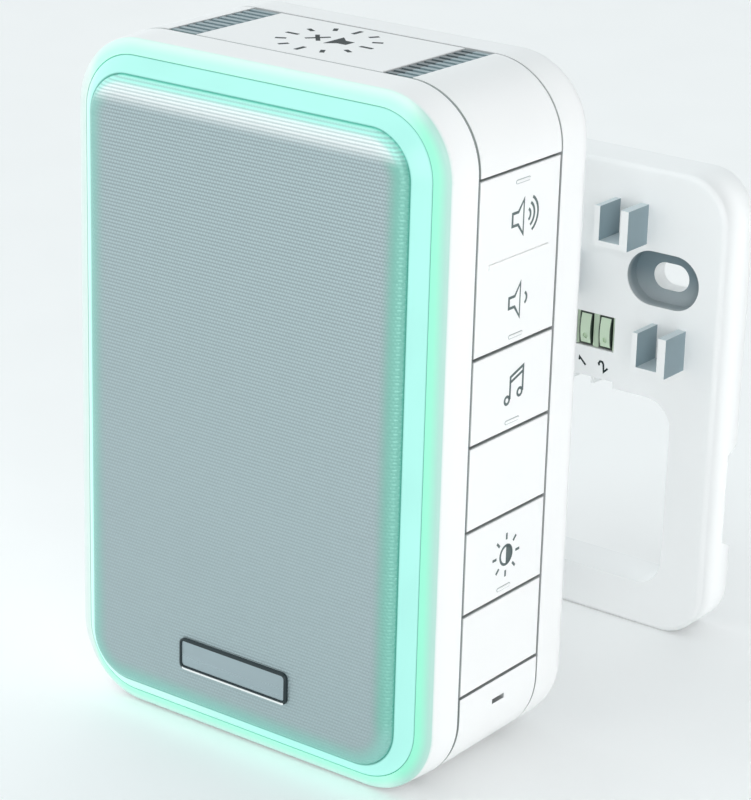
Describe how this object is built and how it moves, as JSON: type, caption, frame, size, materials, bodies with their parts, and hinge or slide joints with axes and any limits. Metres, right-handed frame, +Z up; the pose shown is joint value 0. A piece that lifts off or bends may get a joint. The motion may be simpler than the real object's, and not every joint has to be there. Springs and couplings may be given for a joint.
{
  "type": "doorbell chime box",
  "caption": "Wall chime box with a light ring round a mesh speaker grille, push keys along the side and top, and a separate clip-on wall plate with wire terminals.",
  "frame": {"origin": "middle of the box's base face, half way through the depth of its side band", "axes": "+Z up, -Y out of the front grille, +Y towards the wall, +X towards the key column"},
  "size_m": [0.0743, 0.0962, 0.1154],
  "materials": {
    "white_case": "fine satin moulded ABS",
    "halo_diffuser": "translucent diffuser, lit from behind",
    "grille_mesh": "fine woven mesh, painted grey",
    "badge_metal": "satin metal plate, bare",
    "frame_grey": "moulded grey ABS",
    "vent_grey": "dark ribbed moulding",
    "circuit_board": "solder mask green",
    "led_body": "moulded LED bodies",
    "black_part": "moulded black components",
    "plunger_plastic": "moulded switch plungers",
    "steel": "zinc-plated",
    "contact_brass": "spring brass",
    "black_metal": "black painted pressing",
    "magnet_ferrite": "sintered ferrite",
    "soft_rubber": "foam and rubber",
    "cone_paper": "pressed black paper",
    "terminal_green": "pale green moulded nylon"
  },
  "bodies": {
    "chime_box": {"front_bezel": "white_case", "corner_trim_right": "white_case", "corner_trim_left": "white_case", "left_side_panel": "white_case", "base_trim": "white_case", "blank_key_upper": "white_case", "blank_key_lower": "white_case", "rear_housing": "white_case", "halo_ring": "halo_diffuser", "speaker_grille": "grille_mesh", "badge_plate": "badge_metal", "led_board": "circuit_board", "main_board": "circuit_board", "side_switch_board": "circuit_board", "top_switch_board": "circuit_board", "ring_leds": "led_body", "middle_frame": "frame_grey", "vent_strip_right": "vent_grey", "vent_strip_left": "vent_grey", "rocker_hinge_pin": "steel", "side_switches": "black_part", "top_switch": "black_part", "volume_plungers": "plunger_plastic", "power_contacts": "contact_brass", "case_screws": "steel", "speaker_gasket": "soft_rubber", "speaker_basket": "black_metal", "speaker_surround": "soft_rubber", "speaker_magnet": "magnet_ferrite", "speaker_screws": "steel", "board_parts": "black_part", "board_screws": "steel"},
    "volume_rocker": {"volume_rocker": "white_case"},
    "melody_button": {"melody_button": "white_case", "melody_plunger": "plunger_plastic"},
    "light_button": {"light_button": "white_case", "light_plunger": "plunger_plastic"},
    "top_button": {"top_button": "white_case", "top_plunger": "plunger_plastic"},
    "speaker_cone": {"speaker_cone": "cone_paper"},
    "wall_plate": {"wall_plate": "white_case", "plate_contacts": "contact_brass", "terminal_block": "terminal_green", "clamp_springs": "steel"},
    "terminal_lever_1": {"terminal_lever_1": "terminal_green"},
    "terminal_lever_2": {"terminal_lever_2": "terminal_green"}
  },
  "joints": [
    {"name": "volume_rock", "type": "hinge", "parent": "chime_box", "child": "volume_rocker", "pos_m": [0.03195, 0, 0.08777], "axis": [0, 1, 0], "range_deg": [-2.5, 2.5], "stiffness_Nm_per_rad": 0.3},
    {"name": "melody_press", "type": "slide", "parent": "chime_box", "child": "melody_button", "axis": [-1, 0, 0], "range_m": [0, 0.0005], "stiffness_N_per_m": 1200, "springref_m": -0.0004},
    {"name": "light_press", "type": "slide", "parent": "chime_box", "child": "light_button", "axis": [-1, 0, 0], "range_m": [0, 0.0005], "stiffness_N_per_m": 1200, "springref_m": -0.0004},
    {"name": "top_press", "type": "slide", "parent": "chime_box", "child": "top_button", "axis": [0, 0, -1], "range_m": [0, 0.0005], "stiffness_N_per_m": 1200, "springref_m": -0.0004},
    {"name": "cone_travel", "type": "slide", "parent": "chime_box", "child": "speaker_cone", "axis": [0, -1, 0], "range_m": [-0.0005, 0.0005], "stiffness_N_per_m": 1300},
    {"name": "plate_dock", "type": "slide", "parent": "chime_box", "child": "wall_plate", "axis": [0, -1, 0], "range_m": [0, 0.04383]},
    {"name": "terminal_1_press", "type": "hinge", "parent": "wall_plate", "child": "terminal_lever_1", "pos_m": [0.00975, 0.06643, 0.0554], "axis": [1, 0, 0], "range_deg": [0, 10], "stiffness_Nm_per_rad": 0.06, "springref_deg": -2.86},
    {"name": "terminal_2_press", "type": "hinge", "parent": "wall_plate", "child": "terminal_lever_2", "pos_m": [0.01385, 0.06643, 0.0554], "axis": [1, 0, 0], "range_deg": [0, 10], "stiffness_Nm_per_rad": 0.06, "springref_deg": -2.86}
  ]
}
